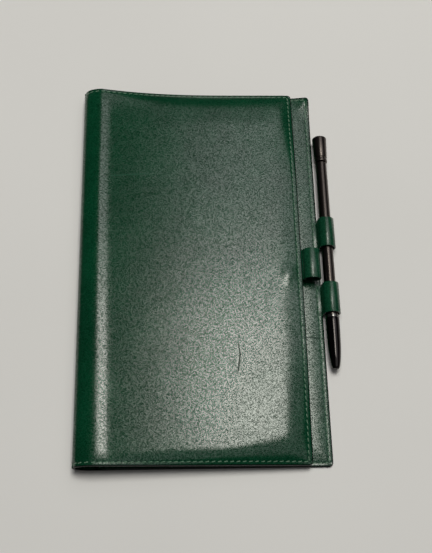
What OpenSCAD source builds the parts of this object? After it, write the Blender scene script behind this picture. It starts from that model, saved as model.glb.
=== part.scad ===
// Pocket agenda holder: a folded leather cover with an insert booklet and a slim twist pen
// that is kept in leather loops at the fore edge. Drawn closed, lying on its back cover,
// with the spine at the left and the pen at the right. Millimetres, +Z up.

/* [Insert booklet] */
// Width of the insert, from its sewn fold to its fore edge
insert_w = 73; // [60:1:95]
// Height of the insert
insert_h = 146; // [120:1:180]
// Distance from the spine's outside to the insert's sewn fold
insert_x = 7; // [6.5:0.25:7.5]
// Thickness of the card covers of the insert
card_t = 0.3; // [0.2:0.05:0.4]
// Thickness of the leaves that open with the front cover
front_leaves_t = 0.3; // [0.2:0.1:0.6]
// Radius of the rounded corners of the insert
insert_r = 4; // [2:0.5:6]
// Play between the layers of the insert and the pockets
play = 0.1; // [0.08:0.01:0.15]
// Diameter of the sewing thread in the fold
thread_d = 0.5; // [0.4:0.05:0.6]
// Distance of the sewing from the ends of the fold
sewing_inset = 22; // [10:1:40]

/* [Cover] */
// Width of the back cover that shows beside the front cover
strip_w = 9; // [8:0.5:14]
// Radius of the outer corners
corner_r = 1.8; // [1:0.1:2.4]
// Height of the closed cover at its spine
spine_h = 9.8; // [9.4:0.1:14]
// Depth of the rounded spine, from its outside to where the covers lie flat
bend_w = 8; // [7:0.5:10]
// Gap left where the leather is divided along a fold
fold_gap = 0.4; // [0.3:0.05:0.6]
// Gap between the free edge of the front cover and the back cover
rim_gap = 0.4; // [0.3:0.1:1]
// How the front cover falls from the spine to the insert's edge: 1 is straight, 2 an even curve
spine_fade = 1.3; // [1:0.1:2.5]
// How the front cover sinks to its edges: 1 is straight, 2 an even curve
sink_shape = 2; // [1.6:0.1:2.4]
// Length of the front cover's droop at its top edge
top_droop_w = 12; // [9:0.5:12]
// Length of the front cover's droop at its bottom edge
bottom_droop_w = 8; // [5:0.5:8]
// Length over which the droop at the top edge fades in from the spine
top_fade_w = 60; // [40:1:70]

/* [Leather and board] */
// Thickness of the outer leather
leather_t = 0.9; // [0.8:0.05:1.2]
// Thickness of the stiffening board
board_t = 0.4; // [0.3:0.05:0.6]
// Thickness of the lining leather
lining_t = 0.5; // [0.4:0.05:0.7]
// Thickness of the leather of the inner pockets
pocket_t = 0.45; // [0.35:0.05:0.6]
// Distance from the front board to the free edge, over which the front cover sinks
board_side = 11; // [10:0.5:14]
// Distance from the front board to the bottom edge
board_bottom = 8; // [8:0.5:12]
// Distance from the front board to the top edge
board_top = 12; // [12:0.5:16]
// Distance that the front board reaches past the insert
board_lap = 2; // [1.5:0.25:4]
// Distance from the boards to where the covers start to bend
board_inset = 5; // [3:0.5:8]
// Distance from the back board to the back cover's edges
back_board_side = 9; // [9:0.5:14]
// Width of the slope of the lining around a board
board_step = 0.6; // [0.4:0.1:1]

/* [Pockets] */
// Distance from the spine's outside to the mouth of the pockets
pocket_x = 36; // [30:1:45]
// Width of the sewn border of the back pocket
pocket_border = 2; // [1.5:0.5:3]

/* [Loops] */
// Length of each loop along the edge
loop_l = 13.4; // [12:0.1:16]
// Gap between one loop and the next
loop_gap = 1.6; // [0.4:0.1:2]
// Distance of the middle loop's middle below the middle of the cover
loops_low = 0.3; // [0:0.1:2]
// Inner radius of the loops
loop_r = 3.05; // [3:0.05:3.6]
// Thickness of the loop leather
loop_t = 0.6; // [0.5:0.05:0.8]
// Length of the sewn-in tongue of a loop
tongue_l = 4.5; // [3:0.5:5]
// Thickness of the pared leather of a tongue
tongue_t = 0.4; // [0.3:0.05:0.45]
// Distance of the front loop's middle from the front cover's edge
front_loop_x = 5; // [4.5:0.1:5.2]
// Height of the front loop's middle above the table
front_loop_z = 5.8; // [5.5:0.1:6]
// Distance of the pen's middle from the back cover's edge
pen_x = 3.4; // [3.3:0.1:3.6]

/* [Pen] */
// Diameter of the pen's barrel
barrel_d = 4.86; // [4.5:0.02:5.2]
// Diameter of the bore of the barrel
barrel_bore_d = 3.5; // [3.3:0.1:3.6]
// Distance from the lower loop to the top of the pen's nose
nose_drop = 0.9; // [0.4:0.1:3]
// Length of the nose
nose_l = 23; // [18:1:28]
// Length of the barrel
barrel_l = 72.3; // [66:0.1:76]
// Length of the knob
knob_l = 12.5; // [8:0.5:16]
// Diameter of the knob at its base
knob_d = 5.6; // [5.5:0.1:5.8]
// Length of the band at the knob's base
band_l = 1.2; // [0.8:0.1:2]
// Length of the groove above the band
groove_l = 0.8; // [0.5:0.1:1.5]
// Depth of the groove above the band
groove_in = 0.35; // [0.2:0.05:0.5]
// Diameter of the knob at its end
knob_end_d = 6.4; // [6.3:0.1:6.8]
// Radial clearance between the loops and the widest part of the nose
nose_fit = 0.1; // [0.06:0.02:0.2]
// Gap between the barrel and the knob
knob_gap = 0.3; // [0.2:0.05:0.5]
// Radial clearance between the parts that turn or slide in the pen
pen_fit = 0.05; // [0.03:0.01:0.08]
// Diameter of the refill tube
refill_d = 2.3; // [2:0.1:2.4]
// Diameter of the writing tip
tip_d = 0.8; // [0.6:0.1:0.9]
// Travel of the refill when the knob is turned
refill_travel = 2.5; // [2:0.1:3]
// Length of the spindle that stays inside the refill
spindle_in = 11; // [6:0.5:16]
// Wire diameter of the spring
wire_d = 0.3; // [0.2:0.05:0.35]
// Pitch of the spring when it is pressed least
spring_pitch = 0.62; // [0.6:0.02:1]
// Number of turns of the spring
spring_turns = 9; // [6:1:12]

/* [Hidden] */
$fn = 64;

// Colours of the leathers, papers and metals
green = [0.16, 0.36, 0.29];
dark_green = [0.08, 0.24, 0.18];
lining_green = [0.20, 0.42, 0.34];
card_grey = [0.45, 0.43, 0.40];
paper = [0.93, 0.91, 0.84];
thread_grey = [0.66, 0.70, 0.62];
gunmetal = [0.24, 0.23, 0.22];
nose_black = [0.12, 0.11, 0.11];
brass = [0.75, 0.60, 0.32];
steel = [0.66, 0.67, 0.69];

// Overall places, measured from the spine's outside, the bottom edge and the table
insert_side = insert_x + insert_w;
leaves_x = insert_x + thread_d / 2 + play;
insert_y = board_bottom + board_lap;
insert_top = insert_y + insert_h;
plateau_x = insert_side + board_lap;
board_hi = insert_top + board_lap;
front_w = plateau_x + board_side;
cover_h = board_hi + board_top;
back_w = front_w + strip_w;
pen_cx = back_w + pen_x;
loop_outer_r = loop_r + loop_t;
pen_cz = loop_outer_r;
total_w = pen_cx + loop_outer_r;

// Layers of the covers
panel_t = leather_t + board_t + lining_t;
bend_t = leather_t + lining_t;
rim_h = 2 * panel_t + rim_gap;
card_z = panel_t + play;
pocket_z = card_z + card_t + play;
pocket_top = pocket_z + pocket_t;
leaves_z = pocket_top + play;
fold_z = spine_h / 2;
front_leaves_z = fold_z + play / 2;
front_card_z = front_leaves_z + front_leaves_t;
plateau_h = front_card_z + card_t + 1.5 * play + pocket_t + panel_t;

// The bend is a quarter ellipse below and above the middle of the spine. Each hinge line
// lies where the leather keeps its length between the closed and the open cover.
bend_l = PI / 4 * (3 * (bend_w + fold_z) - sqrt((3 * bend_w + fold_z) * (bend_w + 3 * fold_z)));
hinge_d = (bend_w + fold_z - bend_l) / 2;
split_angle = acos((bend_w - fold_z) / norm([bend_w, fold_z])) - atan2(fold_z, bend_w);
split_speed = norm([bend_w * sin(split_angle), fold_z * cos(split_angle)]);
split_half = fold_gap / 2 / split_speed * 180 / PI;

// Grid of the front cover: turns of the bend, then distances from the spine's outside
bend_steps = 4;
bend_from = split_angle + split_half;
bend_angles = [for (k = [0:bend_steps]) bend_from + (90 - bend_from) * k / bend_steps];
board_x = bend_w + board_inset;
flat_xs = concat(
    [board_x - board_step, board_x],
    [for (k = [1:5]) board_x + (pocket_x - board_x) * k / 5],
    [for (k = [1:4]) pocket_x + (plateau_x - pocket_x) * k / 4],
    [for (k = [1:4]) plateau_x + (board_side - corner_r) * k / 4],
    [front_w - corner_r * 0.3, front_w]
);
bend_n = len(bend_angles);
grid_n = bend_n + len(flat_xs);
board_i = bend_n + 1;
pocket_i = board_i + 5;
plateau_i = pocket_i + 4;
grid_ys = [
    0, board_bottom / 4, board_bottom / 2, board_bottom - board_step, board_bottom,
    cover_h * 0.3, cover_h * 0.7,
    board_hi, board_hi + board_step, cover_h - board_top * 0.6, cover_h - board_top * 0.3, cover_h
];
board_j = 4;
board_top_j = 7;
last_j = len(grid_ys) - 1;

// Places of the loops along the edge
loop_pitch = loop_l + loop_gap;
front_loop_y = cover_h / 2 - loops_low - loop_l / 2;
lower_loop_y = front_loop_y - loop_pitch;
upper_loop_y = front_loop_y + loop_pitch;

// Places along the pen, from its tip up to its knob
nose_top = lower_loop_y - nose_drop;
tip_y = nose_top - nose_l;
barrel_top = nose_top + barrel_l;
nose_r = loop_r - nose_fit;
bore_r = barrel_bore_d / 2;
refill_r = refill_d / 2;
tip_r = tip_d / 2;
tip_hole_r = tip_r + 2 * pen_fit;
nose_end_r = tip_hole_r + 0.5;
ring_l = 1.2;
plug_l = 5;
cone_l = 3.5;
seat_l = 7;
spring_l = spring_turns * spring_pitch;
shoulder_l = seat_l + spring_l + wire_d + 2 * play;
tip_l = shoulder_l + 2;
ball_in = 0.6;
stem_l = 8;
spindle_r = 0.7;
collar_l = 2;
spindle_l = collar_l + refill_travel + spindle_in;
edge = 0.2;
knob_base = barrel_top + knob_gap;
stem_end = knob_base - stem_l;

function mix(a, b, t) = a + (b - a) * t;

// Point of the bend's cross-section: turn runs from -90 at the back cover to 90 at the front
function bend_normal(turn) =
    let (n = [cos(turn) / bend_w, -sin(turn) / fold_z]) n / norm(n);
function bend_point(turn, depth) =
    [bend_w * (1 - cos(turn)), fold_z * (1 + sin(turn))] + depth * bend_normal(turn);

// Height of the front cover's outside: over the insert, at its bottom edge and at its top edge
function middle_h(x) = x < plateau_x
    ? mix(plateau_h, spine_h, pow((plateau_x - x) / (plateau_x - bend_w), spine_fade))
    : mix(plateau_h, rim_h, pow((x - plateau_x) / board_side, sink_shape));
function bottom_h(x) = rim_h + (spine_h - rim_h) * pow((front_w - x) / (front_w - bend_w), 0.9);
function top_h(x) = rim_h + (spine_h - rim_h) * pow(max(0, 1 - (x - bend_w) / top_fade_w), 2.6);
function sunk(edge_h, inner_h, t) = mix(inner_h, edge_h, pow(max(0, 1 - t), sink_shape));
function front_h(x, y) = y < cover_h / 2
    ? sunk(bottom_h(x), middle_h(x), y / bottom_droop_w)
    : sunk(top_h(x), middle_h(x), (cover_h - y) / top_droop_w);

// The free corners are rounded: the grid's outer rows draw in near the free edge
function corner_in(x) = x > front_w - corner_r
    ? corner_r - sqrt(max(0, pow(corner_r, 2) - pow(x - front_w + corner_r, 2)))
    : 0;
function grid_y(x, j) = min(cover_h - corner_in(x), max(corner_in(x), grid_ys[j]));
function grid_point(i, j, depth) = i < bend_n
    ? let (p = bend_point(bend_angles[i], depth)) [p[0], grid_ys[j], p[1]]
    : let (x = flat_xs[i - bend_n], y = grid_y(x, j)) [x, y, front_h(x, y) - depth];

// Depths of the layers below the outside of the front cover
function on_board(i, j) = i >= board_i && i <= plateau_i && j >= board_j && j <= board_top_j;
function lining_top(i, j) = leather_t + (on_board(i, j) ? board_t : 0);
function lining_bottom(i) = i < bend_n ? bend_t : panel_t;

module at_origin() translate([-total_w / 2, -cover_h / 2, 0]) children();

// Extrudes an outline drawn in X and Z along the spine
module along_spine(from, to)
    translate([0, to, 0]) rotate([90, 0, 0]) linear_extrude(to - from) children();

// Turned part on the pen's axis, with its outline drawn as radius and place along the pen
module on_pen(outline)
    translate([pen_cx, 0, pen_cz]) rotate([-90, 0, 0]) rotate_extrude() polygon(outline);

// Plate with rounded corners in plan
module rounded_plate(x0, y0, x1, y1, r, z0, t)
    translate([0, 0, z0]) linear_extrude(t) {
        for (x = [x0 + r, x1 - r], y = [y0 + r, y1 - r]) translate([x, y]) circle(r);
        translate([x0 + r, y0]) square([x1 - x0 - 2 * r, y1 - y0]);
        translate([x0, y0 + r]) square([x1 - x0, y1 - y0 - 2 * r]);
    }

// Layer of the back cover and its half of the bend, between two depths
module back_layer(outer, inner, thick) {
    turns = [for (k = [0:bend_steps]) -bend_from - (90 - bend_from) * k / bend_steps];
    intersection() {
        along_spine(0, cover_h) polygon(concat(
            [for (turn = turns) bend_point(turn, outer)],
            [[back_w, outer], [back_w, thick], [bend_w + board_step, thick]],
            [for (k = [bend_steps:-1:0]) bend_point(turns[k], inner)]
        ));
        rounded_plate(-back_w, 0, back_w, cover_h, corner_r, -1, spine_h);
    }
}

// Layer of the spine between two depths
module spine_layer(outer, inner) {
    half = split_angle - split_half;
    steps = 10;
    turns = [for (k = [0:steps]) -half + 2 * half * k / steps];
    along_spine(0, cover_h) polygon(concat(
        [for (turn = turns) bend_point(turn, outer)],
        [for (k = [steps:-1:0]) bend_point(turns[k], inner)]
    ));
}

// Layer of the front cover on the shared grid, between two lists of depths
module front_layer(i0, i1, j0, j1, upper, lower) {
    rows = j1 - j0 + 1;
    count = (i1 - i0 + 1) * rows;
    points = [for (side = [upper, lower], i = [i0:i1], j = [j0:j1])
        grid_point(i, j, side[i - i0][j - j0])];
    cells = [for (i = [0:i1 - i0 - 1], j = [0:rows - 2])
        let (a = i * rows + j, b = a + rows) each [
            [a, a + 1, b + 1], [a, b + 1, b],
            [count + a, count + b + 1, count + a + 1], [count + a, count + b, count + b + 1]
        ]];
    ends = [for (i = [0:i1 - i0 - 1])
        let (a = i * rows, b = a + rows, c = a + rows - 1, d = c + rows) each [
            [a, b, count + b], [a, count + b, count + a],
            [d, c, count + c], [d, count + c, count + d]
        ]];
    sides = [for (j = [0:rows - 2])
        let (a = j, b = (i1 - i0) * rows + j) each [
            [a + 1, a, count + a], [a + 1, count + a, count + a + 1],
            [b, b + 1, count + b + 1], [b, count + b + 1, count + b]
        ]];
    polyhedron(points, concat(cells, ends, sides));
}

// Sheet of the insert, square at the fold and with rounded corners at the fore edge
module insert_sheet(x, z, t) {
    rounded_plate(x, insert_y, insert_side, insert_top, insert_r, z, t);
    translate([x, insert_y, z]) cube([2 * insert_r, insert_h, t]);
}

// Upper side of the tongues that are sewn into the covers, from their ends to their loops
back_tongue = [for (x = [back_w - tongue_l, pen_cx]) [x, leather_t + tongue_t]];
front_tongue = concat(
    [for (k = [0:3]) let (x = front_w - tongue_l * (1 - k / 3))
        [x, middle_h(x) - leather_t - play / 2]],
    [[front_w + front_loop_x, rim_h - leather_t - play / 2]]
);

module tongue_outline(upper)
    polygon(concat(upper, [for (k = [len(upper) - 1:-1:0]) upper[k] - [0, tongue_t]]));

// Ring of a loop along the edge, with its tongue
module loop_strap(x, z, y, tongue)
    difference() {
        union() {
            translate([x, y, z]) rotate([-90, 0, 0]) cylinder(h = loop_l, r = loop_outer_r);
            along_spine(y, y + loop_l) tongue_outline(tongue);
        }
        translate([x, y - 1, z]) rotate([-90, 0, 0]) cylinder(h = loop_l + 2, r = loop_r);
    }

// Room for a tongue between the leather and the lining
module tongue_slot(y, tongue)
    along_spine(y - play, y + loop_l + play) offset(delta = play) tongue_outline(tongue);

module back_leather() color(green) at_origin() back_layer(0, leather_t, leather_t);

module back_stiffener()
    color(card_grey) at_origin()
        translate([board_x, back_board_side, leather_t])
            cube([back_w - back_board_side - board_x, cover_h - 2 * back_board_side, board_t]);

module back_lining()
    color(lining_green) at_origin() difference() {
        back_layer(leather_t, bend_t, panel_t);
        translate([board_x, back_board_side, leather_t - 1])
            cube([back_w - back_board_side - board_x, cover_h - 2 * back_board_side, board_t + 1]);
        for (y = [lower_loop_y, upper_loop_y]) tongue_slot(y, back_tongue);
    }

module back_pocket() {
    side = insert_side + pocket_border;
    low = insert_y - pocket_border;
    high = insert_top + pocket_border;
    color(lining_green) at_origin() difference() {
        translate([pocket_x, low, panel_t])
            cube([side - pocket_x, high - low, pocket_top - panel_t]);
        translate([pocket_x - 1, insert_y - play, panel_t - 1])
            cube([insert_side + play - pocket_x + 1, insert_h + 2 * play, pocket_z - panel_t + 1]);
    }
}

module upper_pen_loop()
    color(dark_green) at_origin()
        loop_strap(pen_cx, pen_cz, upper_loop_y, back_tongue);

module lower_pen_loop()
    color(dark_green) at_origin()
        loop_strap(pen_cx, pen_cz, lower_loop_y, back_tongue);

module spine_leather() color(green) at_origin() spine_layer(0, leather_t);

module spine_lining() color(lining_green) at_origin() spine_layer(leather_t, bend_t);

module front_leather()
    color(green) at_origin() front_layer(0, grid_n - 1, 0, last_j,
        [for (i = [0:grid_n - 1]) [for (j = [0:last_j]) 0]],
        [for (i = [0:grid_n - 1]) [for (j = [0:last_j]) leather_t]]);

module front_stiffener()
    color(card_grey) at_origin() front_layer(board_i, plateau_i, board_j, board_top_j,
        [for (i = [board_i:plateau_i]) [for (j = [board_j:board_top_j]) leather_t]],
        [for (i = [board_i:plateau_i]) [for (j = [board_j:board_top_j]) leather_t + board_t]]);

module front_lining()
    color(lining_green) at_origin() difference() {
        front_layer(0, grid_n - 1, 0, last_j,
            [for (i = [0:grid_n - 1]) [for (j = [0:last_j]) lining_top(i, j)]],
            [for (i = [0:grid_n - 1]) [for (j = [0:last_j]) lining_bottom(i)]]);
        tongue_slot(front_loop_y, front_tongue);
    }

module front_pocket()
    color(lining_green) at_origin() front_layer(pocket_i, plateau_i, board_j, board_top_j,
        [for (i = [pocket_i:plateau_i]) [for (j = [board_j:board_top_j]) panel_t]],
        [for (i = [pocket_i:plateau_i]) [for (j = [board_j:board_top_j]) panel_t + pocket_t]]);

module closing_loop()
    color(dark_green) at_origin()
        loop_strap(front_w + front_loop_x, front_loop_z, front_loop_y, front_tongue);

module insert_back_card() color(card_grey) at_origin() insert_sheet(insert_x, card_z, card_t);

module back_leaves() {
    low = card_z + card_t;
    color(paper) at_origin() difference() {
        insert_sheet(leaves_x, low, fold_z - play / 2 - low);
        translate([pocket_x - play, 0, 0]) cube([back_w, cover_h, leaves_z]);
    }
}

module insert_thread()
    color(thread_grey) at_origin()
        translate([insert_x, insert_y + sewing_inset, fold_z]) rotate([-90, 0, 0])
            cylinder(h = insert_h - 2 * sewing_inset, d = thread_d);

module front_leaves() color(paper) at_origin() insert_sheet(leaves_x, front_leaves_z, front_leaves_t);

module insert_front_card() color(card_grey) at_origin() insert_sheet(insert_x, front_card_z, card_t);

module pen_barrel()
    color(gunmetal) at_origin() on_pen([
        [bore_r, nose_top], [barrel_d / 2, nose_top],
        [barrel_d / 2, barrel_top - edge], [barrel_d / 2 - edge, barrel_top], [bore_r, barrel_top]
    ]);

module pen_ring()
    color(steel) at_origin() on_pen([
        [bore_r - pen_fit, nose_top - ring_l], [nose_r - edge, nose_top - ring_l],
        [nose_r, nose_top - ring_l + edge], [nose_r, nose_top - edge],
        [nose_r - edge, nose_top], [bore_r - pen_fit, nose_top]
    ]);

// The nose swells from its end like a bullet
nose_steps = 10;
function nose_point(t, base) = [
    mix(nose_end_r, nose_r - edge / 2, pow(1 - pow(1 - t, 2.2), 0.9)), mix(tip_y, base, pow(t, 1.6))
];

module pen_nose() {
    base = nose_top - ring_l;
    plug_r = bore_r - 2 * pen_fit;
    room_r = refill_r + 2 * pen_fit;
    color(nose_black) at_origin() on_pen([
        [tip_hole_r, tip_y], [nose_end_r, tip_y],
        for (k = [1:nose_steps]) nose_point(k / nose_steps, base),
        [plug_r, base], [plug_r, nose_top + plug_l], [room_r, nose_top + plug_l],
        [room_r, tip_y + seat_l], [tip_hole_r, tip_y + cone_l]
    ]);
}

module pen_knob() {
    stem_r = bore_r - pen_fit;
    r = knob_d / 2;
    groove_r = r - groove_in;
    end = knob_base + knob_l;
    color(gunmetal) at_origin() on_pen([
        [0, stem_end], [stem_r, stem_end], [stem_r, knob_base],
        [r - edge, knob_base], [r, knob_base + edge], [r, knob_base + band_l],
        [groove_r, knob_base + band_l + edge], [groove_r, knob_base + band_l + groove_l],
        [r, knob_base + band_l + groove_l + edge], [knob_end_d / 2, end - 4 * edge],
        [knob_end_d / 2 - edge, end - edge], [knob_end_d / 2 - 4 * edge, end], [0, end]
    ]);
}

module twist_spindle()
    color(steel) at_origin() on_pen([
        [0, stem_end - spindle_l], [spindle_r, stem_end - spindle_l],
        [spindle_r, stem_end - collar_l], [bore_r - pen_fit, stem_end - collar_l],
        [bore_r - pen_fit, stem_end], [0, stem_end]
    ]);

module refill_tube() {
    top = stem_end - collar_l - play;
    low = tip_y + tip_l;
    bore_end = top - spindle_l;
    color(brass) at_origin() on_pen([
        [0, low], [refill_r, low], [refill_r, top], [spindle_r + pen_fit, top],
        [spindle_r + pen_fit, bore_end], [0, bore_end]
    ]);
}

module refill_tip()
    color(steel) at_origin() on_pen([
        [0, tip_y + ball_in], [tip_r / 2, tip_y + ball_in], [tip_r, tip_y + 2 * ball_in],
        [tip_r, tip_y + shoulder_l], [refill_r, tip_y + shoulder_l + 2 * edge],
        [refill_r, tip_y + tip_l], [0, tip_y + tip_l]
    ]);

// Helix around the writing tip, between the nose's seat and the refill's shoulder
module pen_spring() {
    sides = 6;
    rings = 10;
    coil_r = (tip_r + refill_r + 2 * pen_fit) / 2;
    low = tip_y + seat_l + wire_d / 2 + play;
    high = low + spring_l;
    steps = spring_turns * rings;
    points = [for (k = [0:steps], s = [0:sides - 1])
        let (a = 360 * k / rings, b = 360 * s / sides, r = coil_r + wire_d / 2 * cos(b))
        [pen_cx + r * cos(a), mix(low, high, k / steps) + wire_d / 2 * sin(b), pen_cz + r * sin(a)]];
    tube = [for (k = [0:steps - 1], s = [0:sides - 1])
        let (a = k * sides + s, b = k * sides + (s + 1) % sides) each [
            [a, b, b + sides], [a, b + sides, a + sides]
        ]];
    caps = [[for (s = [sides - 1:-1:0]) s], [for (s = [0:sides - 1]) steps * sides + s]];
    color(steel) at_origin() polyhedron(points, concat(tube, caps));
}

back_leather();
back_stiffener();
back_lining();
back_pocket();
upper_pen_loop();
lower_pen_loop();
spine_leather();
spine_lining();
front_leather();
front_stiffener();
front_lining();
front_pocket();
closing_loop();
insert_back_card();
back_leaves();
insert_thread();
insert_front_card();
front_leaves();
pen_barrel();
pen_ring();
pen_nose();
pen_knob();
twist_spindle();
refill_tube();
refill_tip();
pen_spring();
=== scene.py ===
"""Pocket agenda holder: a folded leather cover, an insert booklet and a slim twist pen in leather loops."""
import math

import bpy
from mathutils import Matrix, Vector


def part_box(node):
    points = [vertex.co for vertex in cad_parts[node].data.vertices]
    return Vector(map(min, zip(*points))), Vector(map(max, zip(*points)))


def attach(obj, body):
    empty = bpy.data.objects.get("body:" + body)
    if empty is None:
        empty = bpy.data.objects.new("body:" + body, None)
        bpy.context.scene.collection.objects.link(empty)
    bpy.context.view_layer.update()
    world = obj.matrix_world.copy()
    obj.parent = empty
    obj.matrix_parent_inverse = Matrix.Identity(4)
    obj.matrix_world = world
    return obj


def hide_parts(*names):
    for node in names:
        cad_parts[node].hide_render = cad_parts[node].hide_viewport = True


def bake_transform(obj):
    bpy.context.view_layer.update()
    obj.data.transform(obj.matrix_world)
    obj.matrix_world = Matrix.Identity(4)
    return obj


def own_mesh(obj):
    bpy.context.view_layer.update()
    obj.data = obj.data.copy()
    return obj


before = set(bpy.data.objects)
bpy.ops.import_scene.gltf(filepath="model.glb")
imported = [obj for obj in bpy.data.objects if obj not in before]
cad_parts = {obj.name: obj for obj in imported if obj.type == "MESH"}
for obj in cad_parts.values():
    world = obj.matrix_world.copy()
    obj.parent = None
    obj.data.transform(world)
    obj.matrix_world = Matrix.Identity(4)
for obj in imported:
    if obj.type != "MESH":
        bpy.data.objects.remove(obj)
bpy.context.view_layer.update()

MM = 0.001


# Camera

def add_camera():
    """The photograph's view: from the bottom edge, leaning 23 degrees off straight down."""
    data = bpy.data.cameras.new("camera")
    data.sensor_width = 36
    data.lens = 61.84
    camera = bpy.data.objects.new("camera", data)
    bpy.context.scene.collection.objects.link(camera)
    camera.location = (-0.014225, -0.15939, 0.37202)
    camera.rotation_euler = [math.radians(turn) for turn in (22.803, -2.118, -1.309)]
    bpy.context.scene.camera = camera


add_camera()


# Sizes, taken from the frame. x runs from the spine's outside, y from the bottom edge, z from the table.

spine_low, spine_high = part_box("spine_leather")
back_low, back_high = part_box("back_leather")
front_low, front_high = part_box("front_leather")
back_board_low, back_board_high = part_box("back_stiffener")
front_board_low, front_board_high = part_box("front_stiffener")
back_pocket_low, back_pocket_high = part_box("back_pocket")
front_pocket_low, front_pocket_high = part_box("front_pocket")
leaves_low, leaves_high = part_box("back_leaves")
front_leaves_low, front_leaves_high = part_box("front_leaves")
thread_low, thread_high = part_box("insert_thread")

SPINE_X = spine_low.x
BOTTOM_Y = back_low.y
COVER_H = back_high.y - BOTTOM_Y
BACK_W = back_high.x - SPINE_X
WORN_OUT = 0.7 * MM
FRONT_W = front_high.x - SPINE_X + WORN_OUT
SPINE_H = front_high.z
FOLD_Z = SPINE_H / 2
LEATHER_T = back_board_low.z
BOARD_T = back_board_high.z - back_board_low.z
PANEL_T = back_pocket_low.z
LINING_T = PANEL_T - LEATHER_T - BOARD_T
BEND_T = LEATHER_T + LINING_T
BOARD_X = back_board_low.x - SPINE_X
PLATEAU_X = front_board_high.x - SPINE_X
BOARD_Y0 = front_board_low.y - BOTTOM_Y
BOARD_Y1 = front_board_high.y - BOTTOM_Y
POCKET_X = front_pocket_low.x - SPINE_X

# The rounded spine, whose quarter turn is measured along the leather
BEND_W = 8 * MM
BEND_L = math.pi / 4 * (3 * (BEND_W + FOLD_Z) - math.sqrt((3 * BEND_W + FOLD_Z) * (BEND_W + 3 * FOLD_Z)))
SPINE_MIDDLE = BEND_W - BEND_L

# The front cover's worn shape: shoulder beside the spine, dome over the insert, borders that sink
SHOULDER_X = 11.7 * MM
SHOULDER_LEAN = 2.0 * MM
SHOULDER_W = 2.1 * MM
SHOULDER_H = 0.5 * MM
DOME = 1.5
PLATEAU_H = 7.95 * MM
BORDER_W = 12 * MM
DOME_L = FRONT_W - BORDER_W - BEND_W
DOME_SLOPE = DOME * (SPINE_H - SHOULDER_H - PLATEAU_H) / DOME_L
SINK_SHAPE = 2.5
RIM_H = 4.4 * MM
RIM_RISE = 2.2 * MM
TOP_DROOP_W = 20 * MM
BOTTOM_DROOP_W = 8 * MM
CORNER_DROOP_W = 18 * MM
TOP_FADE_W = 60 * MM
BULGE_W = 3.0 * MM
BULGE_L = 4.4 * MM
BULGE_H = 0.55 * MM
BULGE_INSET = 5.8 * MM
BULGE_BELOW_MIDDLE = 5.3 * MM

# Edges, seams and inner layers of both covers
CORNER_R = 1.8 * MM
EDGE_ROUND = 0.3 * MM
EDGE_SINK_W = 6 * MM
EDGE_SINK_H = 0.5 * MM
STRIP_SINK_L = 11 * MM
STRIP_SINK_W = 8 * MM
STRIP_SINK_H = 0.7 * MM
CURL_REACH = 15 * MM
CURL_H = 1.7 * MM
EDGE_SEAM = 1.4 * MM
SIDE_SEAM = 1.7 * MM
GROOVE_W = 0.45 * MM
GROOVE_H = 0.1 * MM
BOARD_STEP = 0.6 * MM
POCKET_T = 0.45 * MM
PLAY = 0.1 * MM


def in_frame(x, y, z):
    """Point of the shared frame from distances off the spine, the bottom edge and the table."""
    return Vector((SPINE_X + x, BOTTOM_Y + y, z))


def clamp(t):
    return min(1.0, max(0.0, t))


def ease(t):
    t = clamp(t)
    return t * t * (3 - 2 * t)


def mix(a, b, t):
    return a + (b - a) * t


def bell(distance, width):
    return math.exp(-(distance / width) ** 2)


# The folded shape of the cover

def bend_point(turn, depth):
    """Point of the rounded spine: turn goes from -90 degrees at the back cover to 90 at the front."""
    across = Vector((math.cos(turn) / BEND_W, -math.sin(turn) / FOLD_Z)).normalized()
    x = BEND_W * (1 - math.cos(turn)) + depth * across.x
    z = FOLD_Z * (1 + math.sin(turn)) + depth * across.y
    return x, z


def middle_height(x, y):
    """A soft shoulder beside the spine, then a flat dome over the insert, then the sinking border."""
    lean = SHOULDER_LEAN * clamp(y / (0.65 * COVER_H))
    shoulder = SHOULDER_H * (1 - math.erf((x - SHOULDER_X + lean) / SHOULDER_W)) / 2
    along = x - BEND_W
    if along < DOME_L:
        return mix(SPINE_H - SHOULDER_H, PLATEAU_H, max(0, along / DOME_L) ** DOME) + shoulder
    over = along - DOME_L
    rim = RIM_H + RIM_RISE * ease(min(y, COVER_H - y) / (0.3 * COVER_H))
    fall = PLATEAU_H - rim - DOME_SLOPE * BORDER_W
    return PLATEAU_H - DOME_SLOPE * over - fall * (over / BORDER_W) ** SINK_SHAPE


def bottom_height(x):
    return RIM_H + (SPINE_H - RIM_H) * clamp((FRONT_W - x) / (FRONT_W - BEND_W)) ** 0.9


def top_height(x):
    return RIM_H + (SPINE_H - RIM_H) * clamp(1 - (x - BEND_W) / TOP_FADE_W) ** 2.6


def edge_sink(y):
    """How far the leather is drawn down near the bottom and top edges."""
    near = clamp(1 - min(y, COVER_H - y) / EDGE_SINK_W)
    return EDGE_SINK_H * near ** 2


def strip_sink(x, y):
    """The same for the strip beside the front cover, which also rounds off to its side."""
    near = clamp(1 - min(y, COVER_H - y) / STRIP_SINK_L)
    beside = clamp(1 - (BACK_W - x) / STRIP_SINK_W)
    return STRIP_SINK_H * max(near, beside) ** 2


def front_height(x, y):
    """Height of the front cover's outside, which sinks from the insert to the free edges."""
    if y < COVER_H / 2:
        width = mix(BOTTOM_DROOP_W, CORNER_DROOP_W, ease((x - 0.6 * FRONT_W) / (0.5 * FRONT_W)))
        sunk = max(0, 1 - y / width) ** SINK_SHAPE
        return mix(middle_height(x, y), bottom_height(x), sunk)
    sunk = max(0, 1 - (COVER_H - y) / TOP_DROOP_W) ** SINK_SHAPE
    return mix(middle_height(x, y), top_height(x), sunk)


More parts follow.
